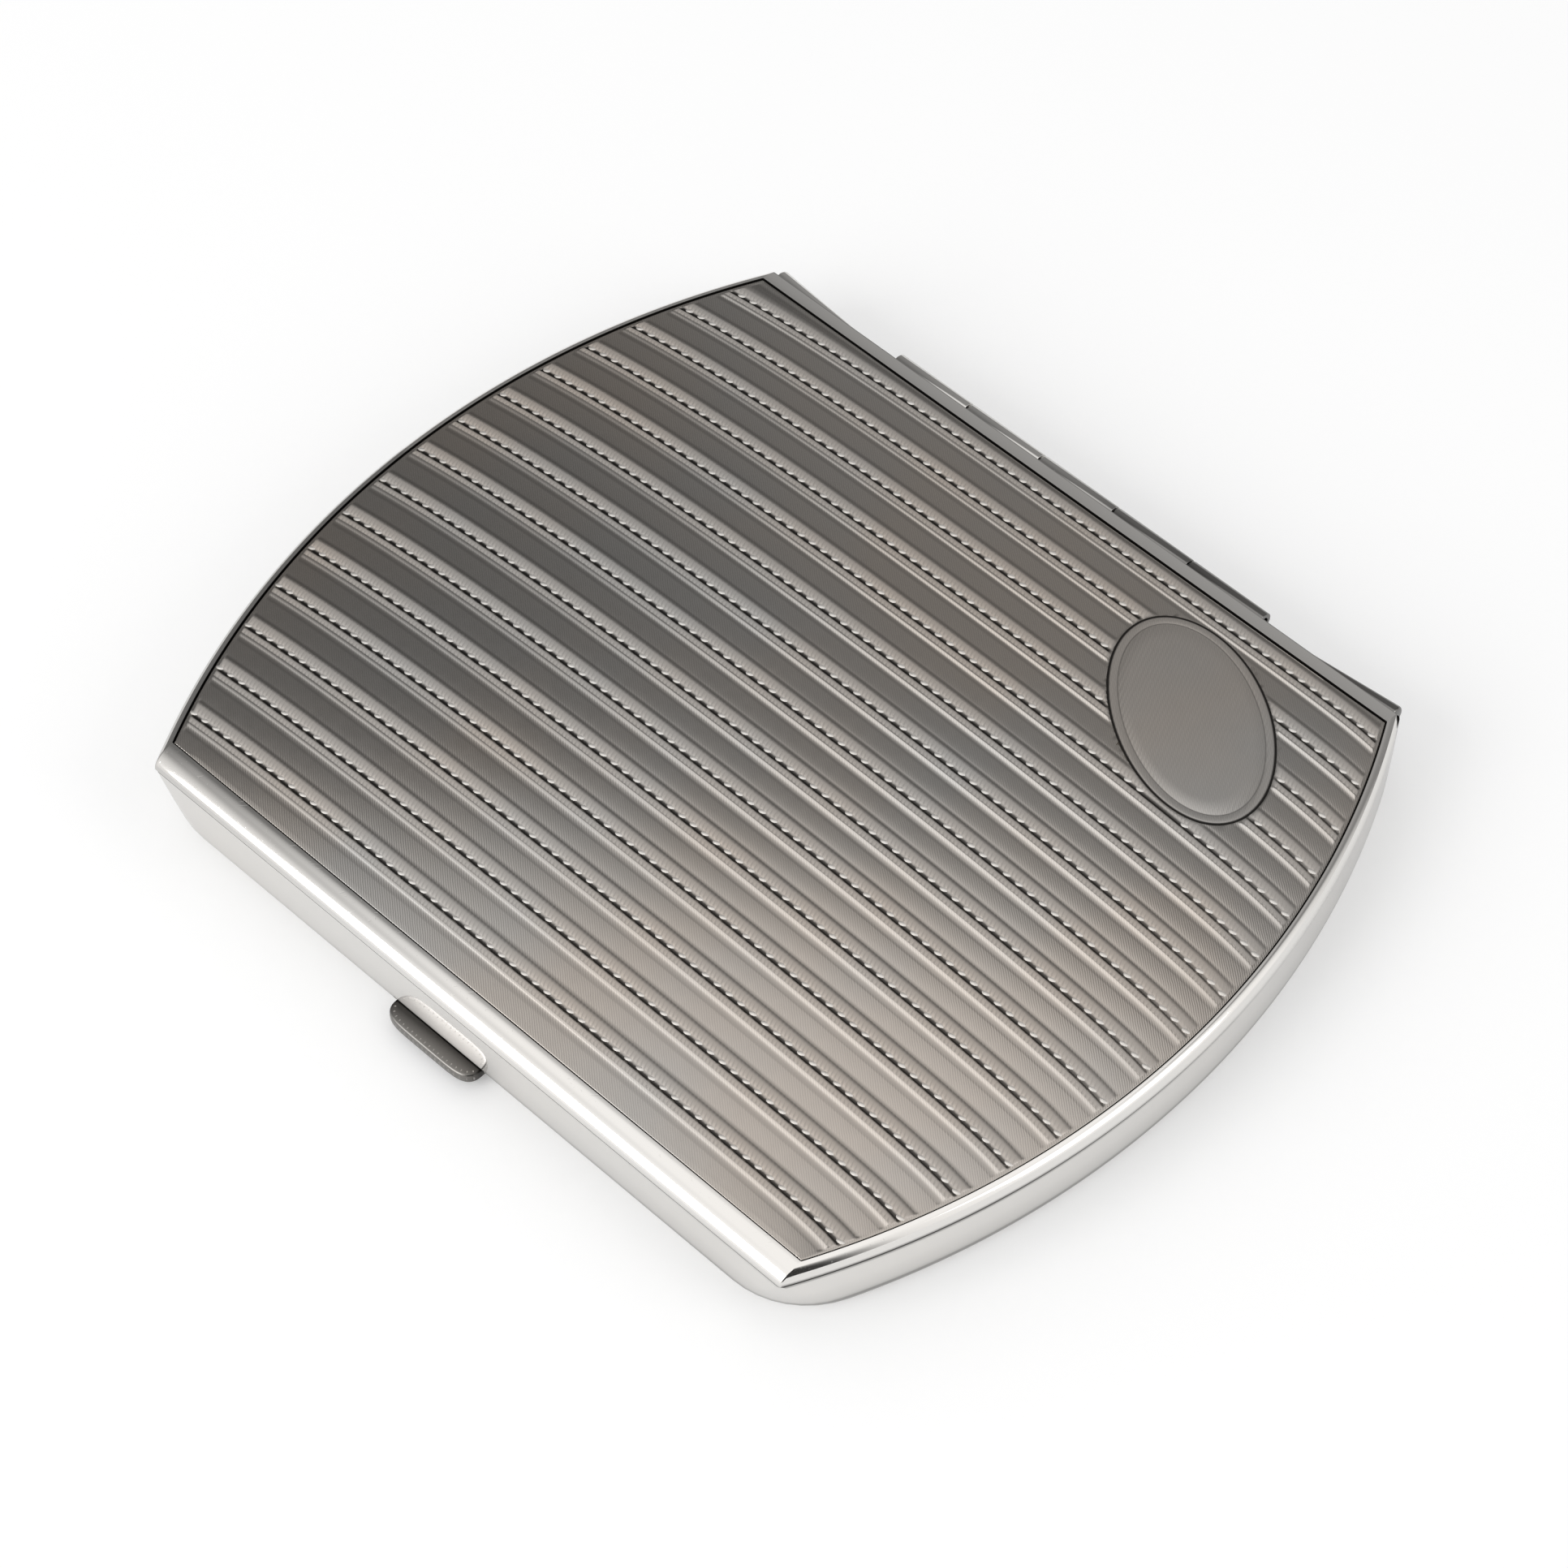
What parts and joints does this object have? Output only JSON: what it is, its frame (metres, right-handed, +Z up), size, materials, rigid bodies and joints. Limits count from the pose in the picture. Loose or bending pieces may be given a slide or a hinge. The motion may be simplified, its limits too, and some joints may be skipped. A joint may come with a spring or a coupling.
{
  "type": "cigarette case",
  "caption": "Flat hinged pocket case for cigarettes with bowed ends, a pillow-shaped ribbed lid in a polished frame and a sprung thumb catch at the front.",
  "frame": {"origin": "middle of the flat underside that the closed case lies on", "axes": "+X along the hinge towards the right end, +Y from the thumb catch at the front to the hinge at the back, +Z up"},
  "size_m": [0.0938, 0.0803, 0.0114],
  "materials": {
    "polished_silver": "hand-polished silver with fine handling marks",
    "engine_turned_silver": "engine-turned silver, lightly toned in the cuts",
    "gilt_silver": "satin gilding over silver, inside the case",
    "spring_steel": "ground spring steel",
    "elastic_tape": "ribbed woven elastic"
  },
  "bodies": {
    "base": {"base_rim": "polished_silver", "base_plate": "engine_turned_silver", "base_lip_left": "gilt_silver", "base_lip_right": "gilt_silver", "base_bearer": "gilt_silver", "base_knuckle_1": "polished_silver", "base_knuckle_2": "polished_silver", "base_knuckle_3": "polished_silver", "hinge_pin": "polished_silver", "catch_spring": "spring_steel", "spring_anchor": "polished_silver", "spring_rivet_left": "polished_silver", "spring_rivet_right": "polished_silver", "elastic_loop_left": "polished_silver", "elastic_loop_right": "polished_silver", "elastic_band": "elastic_tape"},
    "lid": {"lid_rim": "polished_silver", "lid_plate": "engine_turned_silver", "lid_bearer": "gilt_silver", "lid_knuckle_1": "polished_silver", "lid_knuckle_2": "polished_silver", "lid_striker": "gilt_silver"},
    "catch": {"thumb_piece": "polished_silver", "catch_hook": "gilt_silver"}
  },
  "joints": [
    {"name": "lid_hinge", "type": "hinge", "parent": "base", "child": "lid", "pos_m": [0, 0.0384, 0.0069], "axis": [-1, 0, 0], "range_deg": [0, 165]},
    {"name": "thumb_push", "type": "slide", "parent": "base", "child": "catch", "axis": [0, 1, 0], "range_m": [0, 0.0008], "stiffness_N_per_m": 1500, "springref_m": -0.0003, "deforming": ["catch_spring"]}
  ]
}
